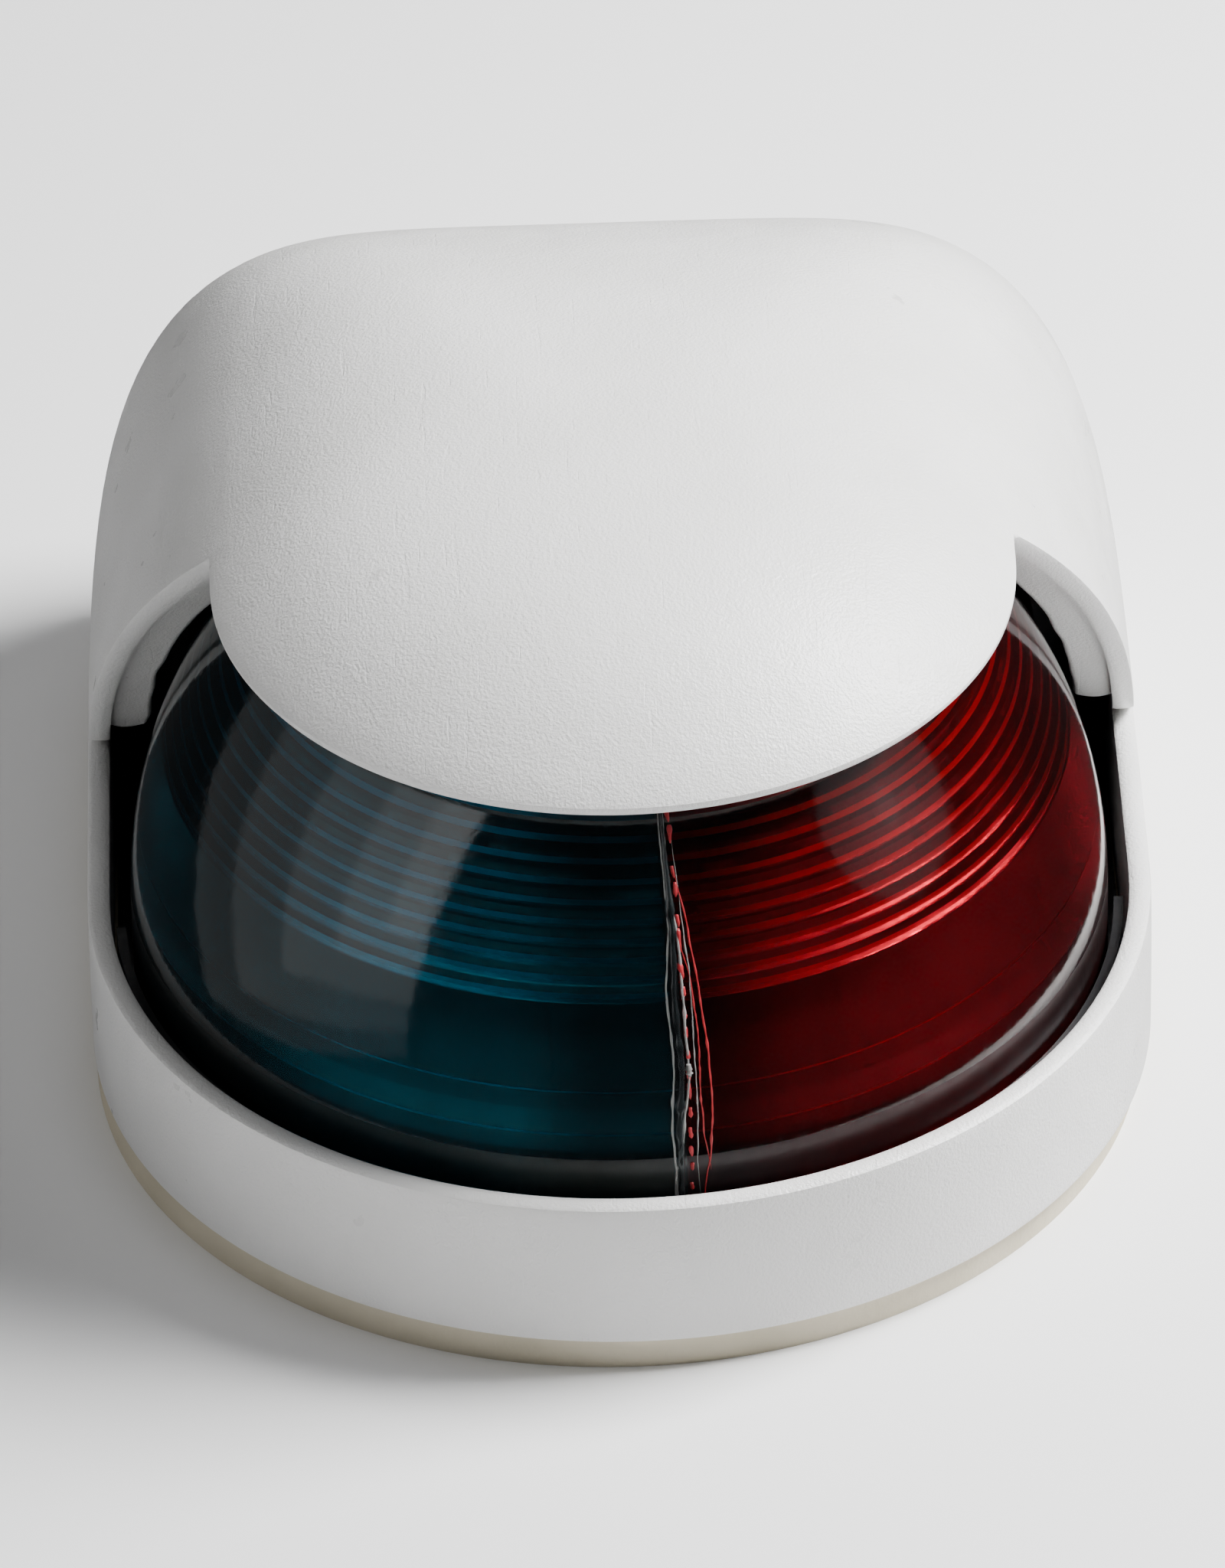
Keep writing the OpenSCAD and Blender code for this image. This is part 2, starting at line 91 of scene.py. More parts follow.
# Width, lower edge and power per square metre of each panel
PANELS = ((0.22, -0.26, 1.9), (0.42, -0.39, 1.6), (0.66, -0.54, 1.3), (0.95, -0.72, 1.0), (1.30, -0.89, 0.8))
FIRST_DIFFUSE_PANEL = 3
SKY_COLOR, SKY_STRENGTH = (0.93, 0.95, 1.0, 1.0), 0.03


def area_light(name, place, size, power):
    data = bpy.data.lights.new(name, "AREA")
    data.shape = "RECTANGLE"
    data.size, data.size_y = size
    data.energy = power
    lamp = bpy.data.objects.new(name, data)
    bpy.context.collection.objects.link(lamp)
    lamp.location = place
    lamp.rotation_euler = (LIT_POINT - place).to_track_quat("-Z", "Y").to_euler()
    return lamp


def toward(azimuth, elevation, distance):
    """Place seen from the lit point at this azimuth (towards +X from dead ahead) and elevation."""
    a, e = math.radians(azimuth), math.radians(elevation)
    step = Vector((math.sin(a) * math.cos(e), -math.cos(a) * math.cos(e), math.sin(e)))
    return LIT_POINT + step * distance


def make_panels():
    """Large soft panels at the left that share one edge, so their reflection fades away from it."""
    place = toward(*PANEL_PLACE)
    roll = Quaternion((0, 0, 1), math.radians(PANEL_ROLL))
    turn = (LIT_POINT - place).to_track_quat("-Z", "Y") @ roll
    right, up, back = (turn @ Vector(axis) for axis in ((1, 0, 0), (0, 1, 0), (0, 0, 1)))
    for k, (width, low, power) in enumerate(PANELS):
        height = PANEL_HIGH - low
        centre = place + right * (PANEL_NEAR - width / 2) + up * (PANEL_HIGH - height / 2)
        panel = area_light("panel_" + str(k + 1), centre + back * (PANEL_STEP * k), (width, height),
                           power * width * height)
        panel.rotation_euler = turn.to_euler()
        panel.visible_diffuse = k >= FIRST_DIFFUSE_PANEL


def make_lights():
    area_light("key", toward(*KEY_PLACE), (KEY_SIZE, KEY_SIZE), KEY_POWER)
    make_panels()
    for size, power in GLOWS:
        glow = area_light("glow", toward(*GLOW_PLACE), (size, size), power)
        glow.data.shape = "DISK"
        glow.visible_diffuse = False
    area_light("overhead", toward(*OVERHEAD_PLACE), (OVERHEAD_SIZE, OVERHEAD_SIZE), OVERHEAD_POWER)
    world = bpy.data.worlds.new("studio")
    bpy.context.scene.world = world
    world.use_nodes = True
    background = world.node_tree.nodes["Background"]
    background.inputs["Color"].default_value = SKY_COLOR
    background.inputs["Strength"].default_value = SKY_STRENGTH


# ---------------------------------------------------------------- materials

PLASTIC_IOR, LENS_IOR = 1.5, 1.49
PAINTED_SHADE_MIDDLE_X = 0.0015        # middle of the painted shade on the lens, where the black centre screen stands behind it
PAINTED_SHADE_WANDER = 0.003           # how far its edge wanders
# Distances from the middle where the painted shade starts and ends, and the shares of light there
MIDDLE_PAINTED_SHADE = (0.0035, 0.0105, 0.34, 1.0)
SIDE_PAINTED_SHADE = (0.018, 0.030, 1.0, 0.20)


def new_material(name):
    material = bpy.data.materials.new(name)
    material.use_nodes = True
    tree = material.node_tree
    tree.nodes.clear()
    output = tree.nodes.new("ShaderNodeOutputMaterial")
    shader = tree.nodes.new("ShaderNodeBsdfPrincipled")
    tree.links.new(shader.outputs["BSDF"], output.inputs["Surface"])
    return material, tree, shader


def principled(material):
    return next(n for n in material.node_tree.nodes if n.type == "BSDF_PRINCIPLED")


def noise_node(tree, scale, detail=3.0, rough=0.5, stretch=(1.0, 1.0, 1.0)):
    """Noise in object space; scale is in features per metre."""
    place = tree.nodes.new("ShaderNodeTexCoord")
    mapping = tree.nodes.new("ShaderNodeMapping")
    mapping.inputs["Scale"].default_value = stretch
    texture = tree.nodes.new("ShaderNodeTexNoise")
    texture.inputs["Scale"].default_value = scale
    texture.inputs["Detail"].default_value = detail
    texture.inputs["Roughness"].default_value = rough
    tree.links.new(place.outputs["Object"], mapping.inputs["Vector"])
    tree.links.new(mapping.outputs["Vector"], texture.inputs["Vector"])
    return texture


def ramp(tree, value, stops):
    """Colour ramp on value; stops are (position, colour) pairs."""
    node = tree.nodes.new("ShaderNodeValToRGB")
    elements = node.color_ramp.elements
    elements[0].position, elements[0].color = stops[0]
    elements[1].position, elements[1].color = stops[-1]
    for position, color in stops[1:-1]:
        elements.new(position).color = color
    tree.links.new(value, node.inputs["Fac"])
    return node.outputs["Color"]


def math_node(tree, operation, *values):
    """Math node on values, each of them a number or an output."""
    node = tree.nodes.new("ShaderNodeMath")
    node.operation = operation
    for socket, value in zip(node.inputs, values):
        if isinstance(value, float):
            socket.default_value = value
        else:
            tree.links.new(value, socket)
    return node.outputs[0]


def fade(tree, value, start, end, before, after):
    """Smooth change from before to after while value goes from start to end."""
    node = tree.nodes.new("ShaderNodeMapRange")
    node.interpolation_type = "SMOOTHSTEP"
    for label, number in (("From Min", start), ("From Max", end), ("To Min", before), ("To Max", after)):
        node.inputs[label].default_value = number
    tree.links.new(value, node.inputs["Value"])
    return node.outputs[0]


def mix_colors(tree, blend, first):
    """Colour mixing node with its first colour linked."""
    node = tree.nodes.new("ShaderNodeMix")
    node.data_type = "RGBA"
    node.blend_type = blend
    tree.links.new(first, node.inputs["A"])
    return node


def grey(v):
    return (v, v, v, 1.0)


def bump(tree, shader, height, distance, strength=1.0, under=None):
    node = tree.nodes.new("ShaderNodeBump")
    node.inputs["Strength"].default_value = strength
    node.inputs["Distance"].default_value = distance
    tree.links.new(height, node.inputs["Height"])
    if under is not None:
        tree.links.new(under, node.inputs["Normal"])
    tree.links.new(node.outputs["Normal"], shader.inputs["Normal"])
    return node.outputs["Normal"]


def moulded_plastic(name, low, high, rough, grain, grain_depth):
    """Moulded plastic: grain is the size of its texture and grain_depth the depth, in metres."""
    material, tree, shader = new_material(name)
    patches = noise_node(tree, 90.0, 4.0)
    color = ramp(tree, patches.outputs["Fac"], [(0.3, low), (0.7, high)])
    tree.links.new(color, shader.inputs["Base Color"])
    wear = noise_node(tree, 260.0, 5.0)
    gloss = ramp(tree, wear.outputs["Fac"], [(0.3, grey(rough - 0.06)), (0.7, grey(rough + 0.06))])
    tree.links.new(gloss, shader.inputs["Roughness"])
    fine = noise_node(tree, 1.0 / grain, 2.5, 0.55)
    broad = noise_node(tree, 0.18 / grain, 2.0)
    first = bump(tree, shader, broad.outputs["Fac"], grain_depth * 0.5)
    bump(tree, shader, fine.outputs["Fac"], grain_depth, under=first)
    shader.inputs["IOR"].default_value = PLASTIC_IOR
    return material


def add_wear(material, scuff_color):
    """Small dark scuffs and a few long faint scratches on moulded plastic."""
    tree = material.node_tree
    shader = principled(material)
    base = shader.inputs["Base Color"].links[0].from_socket
    specks = noise_node(tree, 420.0, 2.0, 0.4)
    zones = noise_node(tree, 38.0, 2.0)
    speck = ramp(tree, specks.outputs["Fac"], [(0.735, grey(0.0)), (0.765, grey(1.0))])
    zone = ramp(tree, zones.outputs["Fac"], [(0.56, grey(0.0)), (0.64, grey(0.6))])
    mix = mix_colors(tree, "MIX", base)
    tree.links.new(math_node(tree, "MULTIPLY", speck, zone), mix.inputs["Factor"])
    mix.inputs["B"].default_value = scuff_color
    tree.links.new(mix.outputs["Result"], shader.inputs["Base Color"])
    scratch = noise_node(tree, 160.0, 1.0, 0.3, (14.0, 1.0, 1.0))
    line = ramp(tree, scratch.outputs["Fac"], [(0.715, grey(0.0)), (0.73, grey(1.0))])
    normal = shader.inputs["Normal"].links[0].from_socket
    bump(tree, shader, line, -0.00002, 0.6, under=normal)
    return material


def brushed_metal(name, low, high, rough, metallic=1.0):
    material, tree, shader = new_material(name)
    lines = noise_node(tree, 900.0, 4.0, 0.6, (1.0, 6.0, 1.0))
    color = ramp(tree, lines.outputs["Fac"], [(0.3, low), (0.7, high)])
    tree.links.new(color, shader.inputs["Base Color"])
    gloss = ramp(tree, lines.outputs["Fac"], [(0.3, grey(rough)), (0.7, grey(rough + 0.12))])
    tree.links.new(gloss, shader.inputs["Roughness"])
    bump(tree, shader, lines.outputs["Fac"], 0.00001)
    shader.inputs["Metallic"].default_value = metallic
    return material


def clear_plastic(name, tint, rough=0.04, clear=1.0):
    """Clear coloured plastic with faint scuffs and dust; clear is the share of light it lets through."""
    material, tree, shader = new_material(name)
    shader.inputs["Transmission Weight"].default_value = clear
    shader.inputs["IOR"].default_value = LENS_IOR
    haze = noise_node(tree, 140.0, 5.0, 0.6)
    deep = tuple(0.8 * c for c in tint[:3]) + (1.0,)
    color = ramp(tree, haze.outputs["Fac"], [(0.35, deep), (0.65, tint)])
    tree.links.new(color, shader.inputs["Base Color"])
    scuffs = noise_node(tree, 1500.0, 6.0, 0.7, (1.0, 1.0, 0.25))
    gloss = ramp(tree, scuffs.outputs["Fac"], [(0.45, grey(rough)), (0.75, grey(rough + 0.12))])
    tree.links.new(gloss, shader.inputs["Roughness"])
    bump(tree, shader, haze.outputs["Fac"], 0.00004)
    return material


def paint_lens_shade(material):
    """Painted shade in the coloured plastic's colour: darker at its sides, and where the black centre screen
    stands behind it.
    """
    tree = material.node_tree
    shader = principled(material)
    base = shader.inputs["Base Color"].links[0].from_socket
    place = tree.nodes.new("ShaderNodeTexCoord")
    parts = tree.nodes.new("ShaderNodeSeparateXYZ")
    tree.links.new(place.outputs["Object"], parts.inputs[0])
    wander = noise_node(tree, 120.0, 2.0)
    shift = math_node(tree, "MULTIPLY_ADD", wander.outputs["Fac"], PAINTED_SHADE_WANDER,
                      -PAINTED_SHADE_MIDDLE_X - PAINTED_SHADE_WANDER / 2)
    away = math_node(tree, "ABSOLUTE", math_node(tree, "ADD", parts.outputs["X"], shift))
    # painted shade: share of the colour kept, lowest at the middle and at the sides
    share = math_node(tree, "MULTIPLY", fade(tree, away, *MIDDLE_PAINTED_SHADE), fade(tree, away, *SIDE_PAINTED_SHADE))
    mix = mix_colors(tree, "MULTIPLY", base)
    mix.inputs["Factor"].default_value = 1.0
    tree.links.new(share, mix.inputs["B"])
    tree.links.new(mix.outputs["Result"], shader.inputs["Base Color"])
    return material


# Lens plastic with painted shade at its middle and sides
def lens_plastic(name, tint, rough, clear):
    return paint_lens_shade(clear_plastic(name, tint, rough, clear))


def dull(material):
    """Cut the surface reflection of a finish that stands in shade."""
    shader = principled(material)
    shader.inputs["Specular IOR Level"].default_value = 0.08
    return material


def make_materials():
    return {
        "housing_white": add_wear(moulded_plastic(
            "housing_white", (0.73, 0.725, 0.71, 1.0), (0.79, 0.785, 0.775, 1.0), 0.33, 0.00023, 0.00007),
            (0.32, 0.31, 0.30, 1.0)),
        "moulding_black": moulded_plastic(
            "moulding_black", (0.006, 0.006, 0.007, 1.0), (0.014, 0.014, 0.015, 1.0), 0.34, 0.0005, 0.00002),
        "gasket_beige": moulded_plastic(
            "gasket_beige", (0.52, 0.47, 0.35, 1.0), (0.64, 0.58, 0.45, 1.0), 0.75, 0.0007, 0.00006),
        # All lens, rib, foot and band materials carry painted shade at the lens's middle and sides
        "lens_green": lens_plastic("lens_green", (0.012, 0.20, 0.28, 1.0), 0.07, 0.945),
        # rib_green and rib_red: frosted rib faces whose tint, far lighter than the lens, is painted light
        # for the bright rib streaks
        "rib_green": lens_plastic("rib_green", (0.04, 0.62, 0.90, 1.0), 0.32, 0.33),
        "foot_green": dull(lens_plastic("foot_green", (0.012, 0.20, 0.28, 1.0), 0.30, 0.95)),
        # band_green and band_red: a lighter tint on a band of the outside, painted light gathered by the
        # lens's lower ledges
        "band_green": lens_plastic("band_green", (0.014, 0.25, 0.35, 1.0), 0.07, 0.89),
        "band_red": lens_plastic("band_red", (0.44, 0.010, 0.022, 1.0), 0.07, 0.94),
        "lens_red": lens_plastic("lens_red", (0.40, 0.009, 0.020, 1.0), 0.07, 0.97),
        "rib_red": lens_plastic("rib_red", (0.95, 0.025, 0.05, 1.0), 0.32, 0.50),
        "foot_red": dull(lens_plastic("foot_red", (0.40, 0.008, 0.016, 1.0), 0.30, 0.96)),
        "adhesive": clear_plastic("adhesive", (0.74, 0.74, 0.72, 1.0), 0.20, 0.62),
        "seam_dark": clear_plastic("seam_dark", (0.10, 0.125, 0.135, 1.0), 0.10, 0.92),
        "seam_red": clear_plastic("seam_red", (0.95, 0.05, 0.07, 1.0), 0.3, 0.55),
        "rubber_black": moulded_plastic(
            "rubber_black", (0.012, 0.012, 0.012, 1.0), (0.025, 0.025, 0.025, 1.0), 0.7, 0.0006, 0.00004),
        "stainless": brushed_metal("stainless", (0.50, 0.50, 0.50, 1.0), (0.66, 0.66, 0.65, 1.0), 0.22),
        "contact_brass": brushed_metal(
            "contact_brass", (0.62, 0.44, 0.16, 1.0), (0.80, 0.60, 0.28, 1.0), 0.24),
        "bulb_glass": clear_plastic("bulb_glass", (0.97, 0.99, 0.99, 1.0), 0.01),
        "bulb_cap": brushed_metal("bulb_cap", (0.66, 0.66, 0.64, 1.0), (0.78, 0.78, 0.77, 1.0), 0.14),
        "filament": brushed_metal("filament", (0.20, 0.20, 0.20, 1.0), (0.32, 0.32, 0.32, 1.0), 0.35),
        "lead_red": moulded_plastic(
            "lead_red", (0.40, 0.02, 0.015, 1.0), (0.52, 0.03, 0.02, 1.0), 0.35, 0.0008, 0.00001),
        "lead_black": moulded_plastic(
            "lead_black", (0.01, 0.01, 0.01, 1.0), (0.02, 0.02, 0.02, 1.0), 0.35, 0.0008, 0.00001),
    }


def paint_cad_nodes(materials):
    slots = {part["node"]: part["material_slot"] for part in frame["record"]["subparts"]}
    for name, obj in frame["nodes"].items():
        obj.data.materials.clear()
        obj.data.materials.append(materials[slots[name]])


# ---------------------------------------------------------------- mesh helpers

def mesh_object(name, points, faces, material, smooth=True):
    mesh = bpy.data.meshes.new(name)
    mesh.from_pydata([tuple(p) for p in points], [], faces)
    mesh.validate()
    mesh.update()
    obj = bpy.data.objects.new(name, mesh)
    bpy.context.collection.objects.link(obj)
    obj.data.materials.append(material)
    if smooth:
        mesh.polygons.foreach_set("use_smooth", [True] * len(mesh.polygons))
    return obj


def apply_modifiers(obj):
    depsgraph = bpy.context.evaluated_depsgraph_get()
    done = bpy.data.meshes.new_from_object(obj.evaluated_get(depsgraph))
    obj.modifiers.clear()
    obj.data = done


def add_bevel(obj, width, segments=2, angle=40.0):
    bevel = obj.modifiers.new("edges", "BEVEL")
    bevel.width = width
    bevel.segments = segments
    bevel.limit_method = "ANGLE"
    bevel.angle_limit = math.radians(angle)
    bevel.harden_normals = False


def combine(obj, other, operation):
    """Boolean of obj with other, which is used up."""
    step = obj.modifiers.new("combine", "BOOLEAN")
    step.operation = operation
    step.solver = "EXACT"
    step.object = other
    bpy.context.view_layer.update()
    apply_modifiers(obj)
    bpy.data.objects.remove(other)


def rounded_block(name, low, high, radius, material):
    x, y, z = zip(low, high)
    points = [(x[i], y[j], z[k]) for k in range(2) for j in range(2) for i in range(2)]
    faces = [(0, 2, 3, 1), (4, 5, 7, 6), (0, 1, 5, 4), (2, 6, 7, 3), (0, 4, 6, 2), (1, 3, 7, 5)]
    block = mesh_object(name, points, faces, material, smooth=False)
    add_bevel(block, radius, 3)
    apply_modifiers(block)
    return block


def turned(name, profile, sides, material):
    """Solid of revolution about Z; profile is (radius, z) from the bottom's middle to the top's."""
    points, faces, rings = [], [], []
    for r, z in profile:
        first = len(points)
        if r == 0.0:
            points.append((0.0, 0.0, z))
            rings.append([first] * sides)
        else:
            points += [(r * math.cos(2 * math.pi * i / sides), r * math.sin(2 * math.pi * i / sides), z)
                       for i in range(sides)]
            rings.append(list(range(first, first + sides)))
    for a, b in zip(rings, rings[1:]):
        for i in range(sides):
            j = (i + 1) % sides
            face = [a[i], a[j], b[j], b[i]]
            face = [v for n, v in enumerate(face) if v not in face[:n]]
            if len(face) > 2:
                faces.append(tuple(face))
    return mesh_object(name, points, faces, material)


# ---------------------------------------------------------------- housing cover

COVER_LOW, COVER_HIGH = (Vector(corner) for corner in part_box("housing_cover"))
HALF_W = COVER_HIGH.x
REAR_Y = COVER_HIGH.y
CROWN_Z = COVER_HIGH.z
FOOT_Z = COVER_LOW.z
SHOULDER_Z = 0.008
CORNER_POWER = 6.0
SIDE_POWER, SIDE_ROOT = 2.7, 0.41
REAR_POWER, REAR_ROOT = 2.4, 0.38
RIM_Z, VISOR_Z = 0.0135, 0.039
WINDOW_LOW_Y, WINDOW_HIGH_Y = 0.0175, 0.003
WALL = 0.0015
EAR_R = 0.0016
SCREEN_NEAR, SCREEN_FAR = 0.0009, 0.0029    # how far the screens stand back from the window's edge
SCREEN_LOW_Z, SCREEN_HIGH_Z = 0.0152, 0.0388
SCREEN_W = 0.0026
SCREW_Z = 0.010
SCREW_SEAT_Y = 0.0545
SCREW_R, SCREW_HEAD_R = 0.00165, 0.0031
BOSS_EDGE, SCREEN_EDGE = 0.0006, 0.00035
BOSS_LOW, BOSS_HIGH = (-0.0055, 0.0498, 0.0063), (0.0055, 0.0560, 0.0150)


def height_share(z):
    return max(0.0, (z - SHOULDER_Z) / (CROWN_Z - SHOULDER_Z))


def level_radii(z):
    w = height_share(z)
    return (HALF_W * (1 - w ** SIDE_POWER) ** SIDE_ROOT,
            REAR_Y * (1 - w ** REAR_POWER) ** REAR_ROOT)


def height_at_share(share):
    """Height where the housing's half width is this share of its full width."""
    w = (1 - share ** (1 / SIDE_ROOT)) ** (1 / SIDE_POWER)
    return SHOULDER_Z + (CROWN_Z - SHOULDER_Z) * w


def level_outline(z, count=1440):
    """Dense outline of one level, from +X round the rear to -X and then round the front."""
    rx, rr = level_radii(z)
    a = np.linspace(0.0, 2 * math.pi, count + 1)
    c, s = np.cos(a), np.sin(a)
    n = np.where(s >= 0, CORNER_POWER, 2.0)
    ry = np.where(s >= 0, rr, rx)
    r = (np.abs(c / rx) ** n + np.abs(s / ry) ** n) ** (-1 / n)
    return np.stack([r * c, r * s], axis=1)


def window_y(z):
    """Where the window's slanted edge is at height z, with its lower corner rounded."""
    t = min(1.0, max(0.0, (z - RIM_Z) / (VISOR_Z - RIM_Z)))
    below = min(1.0, max(0.0, (RIM_Z + EAR_R - z) / EAR_R))
    rounding = EAR_R * (1 - math.sqrt(1 - below ** 2))
    return WINDOW_LOW_Y + (WINDOW_HIGH_Y - WINDOW_LOW_Y) * t + rounding


def spread(count, edge, shares=(0.0, 0.25, 1.0)):
    """Parameters from 0 to 1 with extra ones near both ends, where edge is the width of that band."""
    near = [edge * s for s in shares]
    middle = list(np.linspace(edge, 1 - edge, count))[1:-1]
    return near + middle + [1 - p for p in reversed(near)]


def along(points, params):
    """Points at these shares of a polyline's length."""
    steps = np.linalg.norm(np.diff(points, axis=0), axis=1)
    length = np.concatenate([[0.0], np.cumsum(steps)])
    target = np.array(params) * length[-1]
    return np.stack([np.interp(target, length, points[:, k]) for k in range(points.shape[1])], axis=1)


def split_level(z, rear_params, front_params):
    """Points of one level behind the window's edge, and in front of it."""
    outline = level_outline(z)
    cut = window_y(z)
    half = len(outline) // 2
    rear_part = outline[:half + 1]
    front_part = outline[half:]
    limit = min(cut, rear_part[:, 1].max() * 0.9)
    inside = rear_part[:, 1] >= limit
    first, last = np.argmax(inside), len(inside) - 1 - np.argmax(inside[::-1])

    def at_cut(a, b):
        t = (limit - a[1]) / (b[1] - a[1])
        return a + (b - a) * t

    right = at_cut(rear_part[first - 1], rear_part[first])
    left = at_cut(rear_part[last + 1], rear_part[last])
    rear = np.vstack([right, rear_part[first:last + 1], left])
    front = np.vstack([left, rear_part[last + 1:], front_part[1:], rear_part[:first], right])
    return along(rear, rear_params), along(front, front_params)


def make_cover(materials):
    low = [FOOT_Z, FOOT_Z + 0.0003, FOOT_Z + 0.001, 0.006, 0.008, 0.0105, 0.0122, 0.0130, RIM_Z]
    middle = [RIM_Z + 0.0004, RIM_Z + 0.0012] + list(np.linspace(0.0165, 0.0365, 9)) \
        + [VISOR_Z - 0.0012, VISOR_Z - 0.0004]
    shares = [0.70, 0.64, 0.57, 0.50, 0.43, 0.36, 0.29, 0.22, 0.16, 0.10, 0.055, 0.02]
    high = [VISOR_Z, VISOR_Z + 0.0004, VISOR_Z + 0.0012] + [height_at_share(s) for s in shares]
    rear_params = spread(75, 0.008)
    front_params = spread(61, 0.010)
    points, rear_rows, front_rows = [], [], []
    for z in low + middle + high:
        rear, front = split_level(z, rear_params, front_params)
        first = len(points)
        points += [(x, y, z) for x, y in rear]
        row = list(range(first, len(points)))
        rear_rows.append(row)
        if z <= RIM_Z or z >= VISOR_Z:
            start = len(points)
            points += [(x, y, z) for x, y in front[1:-1]]
            front_rows.append([row[-1]] + list(range(start, len(points))) + [row[0]])
        else:
            front_rows.append(None)
    faces = []
    for rows in (rear_rows, front_rows):
        for a, b in zip(rows, rows[1:]):
            if a is None or b is None:
                continue
            faces += [(a[i], a[i + 1], b[i + 1], b[i]) for i in range(len(a) - 1)]
    points.append((0.0, 0.0, CROWN_Z))
    apex = len(points) - 1
    for row in (rear_rows[-1], front_rows[-1]):
        faces += [(row[i], row[i + 1], apex) for i in range(len(row) - 1)]
    cover = mesh_object("cover_shell", points, faces, materials["housing_white"])
    solid = cover.modifiers.new("wall", "SOLIDIFY")
    solid.thickness = WALL
    solid.offset = -1.0
    rounding = cover.modifiers.new("rounding", "SUBSURF")
    rounding.levels = rounding.render_levels = 1
    apply_modifiers(cover)
    boss = rounded_block("boss", BOSS_LOW, BOSS_HIGH, BOSS_EDGE, materials["housing_white"])
    combine(cover, boss, "UNION")
    for radius, start in ((SCREW_R, BOSS_LOW[1] - MM), (SCREW_HEAD_R, SCREW_SEAT_Y)):
        hole = turned("hole", [(0.0, start), (radius, start), (radius, REAR_Y + MM), (0.0, REAR_Y + MM)],
                      64, materials["housing_white"])
        hole.matrix_world = Matrix.Translation((0.0, 0.0, SCREW_Z)) @ Matrix.Rotation(-math.pi / 2, 4, "X")
        bpy.context.view_layer.update()
        combine(cover, hole, "DIFFERENCE")
    cover.data.polygons.foreach_set("use_smooth", [True] * len(cover.data.polygons))
    cover.data.set_sharp_from_angle(angle=math.radians(38))
    return cover


def inner_half_width(z, y, inset):
    """Half width of the housing's form, set in by inset, at one point of its side."""
    w = max(0.0, (z - SHOULDER_Z) / (CROWN_Z - 1.05 * inset - SHOULDER_Z))
    rx = (HALF_W - inset) * (1 - w ** SIDE_POWER) ** SIDE_ROOT
    rr = (REAR_Y - inset) * (1 - w ** REAR_POWER) ** REAR_ROOT
    return rx * (1 - (max(0.0, y) / rr) ** CORNER_POWER) ** (1 / CORNER_POWER)


def make_cover_screen(side, materials):
    """One of the two screens beside the lens: a strip along the window's edge."""
    rows, columns = 46, 9
    points = []
    for face in range(2):
        depth = SCREEN_NEAR if face == 0 else SCREEN_FAR
        for k in range(rows):
            t = k / (rows - 1)
            z = SCREEN_LOW_Z + (SCREEN_HIGH_Z - SCREEN_LOW_Z) * t
            y = WINDOW_LOW_Y + (WINDOW_HIGH_Y - WINDOW_LOW_Y) * (z - RIM_Z) / (VISOR_Z - RIM_Z) + depth
            outer = inner_half_width(z, y, WALL - 0.0003)
            wave = noise.noise(Vector((side * 7.0, z * 380.0, 2.0))) * 0.00022
            inner = inner_half_width(z, y, WALL + SCREEN_W) + wave
            foot = max(0.0, 1 - t * rows / 3.0)
            for j in range(columns):
                u = j / (columns - 1)
                dip = 0.00035 * foot * (2 * u - 1) ** 2
                ripple = noise.noise(Vector((side * 3.0 + u * 2.0, z * 150.0, face * 5.0))) * 0.00006
                points.append((side * (outer + (inner - outer) * u), y + ripple, z + dip))
    faces = []
    size = rows * columns
    for k in range(rows - 1):
        for j in range(columns - 1):
            a = k * columns + j
            faces.append((a, a + 1, a + columns + 1, a + columns))
            b = a + size
            faces.append((b, b + columns, b + columns + 1, b + 1))
    edge = [j for j in range(columns)]
    edge += [k * columns + columns - 1 for k in range(1, rows)]
    edge += [(rows - 1) * columns + j for j in range(columns - 2, -1, -1)]
    edge += [k * columns for k in range(rows - 2, 0, -1)]
    for a, b in zip(edge, edge[1:] + edge[:1]):
        faces.append((a, a + size, b + size, b))
    if side > 0:
        faces = [tuple(reversed(f)) for f in faces]
    screen = mesh_object("cover_screen_" + ("red" if side > 0 else "green"), points, faces,
                         materials["housing_white"])
    add_bevel(screen, SCREEN_EDGE, 3)
    apply_modifiers(screen)
    screen.data.polygons.foreach_set("use_smooth", [True] * len(screen.data.polygons))
    return screen


# ---------------------------------------------------------------- lens

LENS_LOW, LENS_HIGH = (Vector(corner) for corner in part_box("lens_green"))
LENS_R = -LENS_LOW.x
LENS_WALL = 0.0016
LENS_CENTRE_Z = 0.014
RIB_LOW_Z, RIB_PITCH, RIB_COUNT, RIB_DEPTH = 0.0254, 0.00108, 13, 0.00045
SHELF_HIGH_Z, SHELF_LOW_Z, SHELF_FOOT_Z, SHELF_T = 0.0196, 0.0164, 0.011, 0.0003
SECTOR = 112.5
RIB_BELLY, RIB_EDGE, SHELF_EDGE = 0.00015, 0.00012, 0.0003
# The rib slot's frosted material has a lighter tint that is painted light for the rib streaks
RIB_FROST_AND_LIGHT_SLOT, FOOT_FINISH, BAND_PAINTED_LIGHT_SLOT = 1, 2, 3      # material slots of a shell, after the lens's own
# The band slot and rows carry a lighter tint that is painted light from the lower ledges
FOOT_ROWS, PAINTED_LIGHT_BAND_ROWS = range(0, 5), range(6, 11)    # rows of faces, counted up the outside
SEAM_ANGLE, SEAM_HALF = 5.5, 0.6
